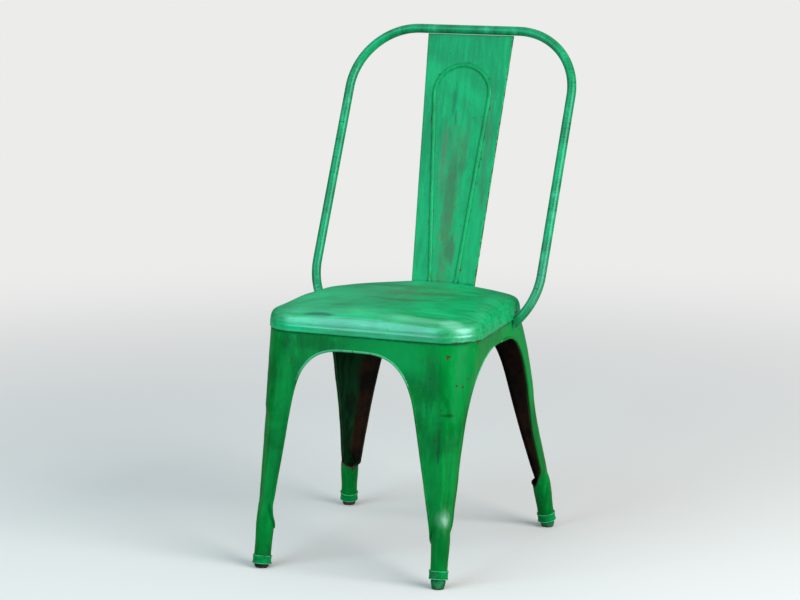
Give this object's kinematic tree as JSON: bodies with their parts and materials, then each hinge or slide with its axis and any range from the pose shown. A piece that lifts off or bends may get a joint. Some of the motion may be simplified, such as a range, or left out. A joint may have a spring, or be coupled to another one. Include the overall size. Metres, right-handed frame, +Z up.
{
  "type": "side chair",
  "caption": "Armless pressed-steel side chair with splayed channel legs, bent tube back and a beaded centre splat.",
  "frame": {"origin": "on the floor, under the middle of the chair's box", "axes": "+Z up, -Y towards the front of the chair, +X to the right seen from the front"},
  "size_m": [0.458, 0.5785, 0.9165],
  "materials": {
    "seat_paint": "worn gloss green, rubbed to olive and brown on top",
    "leg_paint": "worn gloss green outside, bare rusty brown inside",
    "collar_paint": "dirty green, rubbed at the ridges",
    "foot_black": "matte, worn",
    "foot_painted": "matte, painted over and dirty",
    "foot_dirty": "matte, caked with rusty dirt",
    "hoop_paint": "worn gloss green with fine cracks",
    "splat_paint": "worn gloss green with brown rubbed streaks"
  },
  "bodies": {
    "root": {"seat_pan": "seat_paint", "leg_front_left": "leg_paint", "leg_front_right": "leg_paint", "leg_rear_left": "leg_paint", "leg_rear_right": "leg_paint", "collar_front_left": "collar_paint", "collar_front_right": "collar_paint", "collar_rear_left": "collar_paint", "collar_rear_right": "collar_paint", "foot_front_left": "foot_black", "foot_front_right": "foot_painted", "foot_rear_left": "foot_dirty", "foot_rear_right": "foot_painted", "back_hoop": "hoop_paint", "back_splat": "splat_paint"}
  },
  "joints": []
}
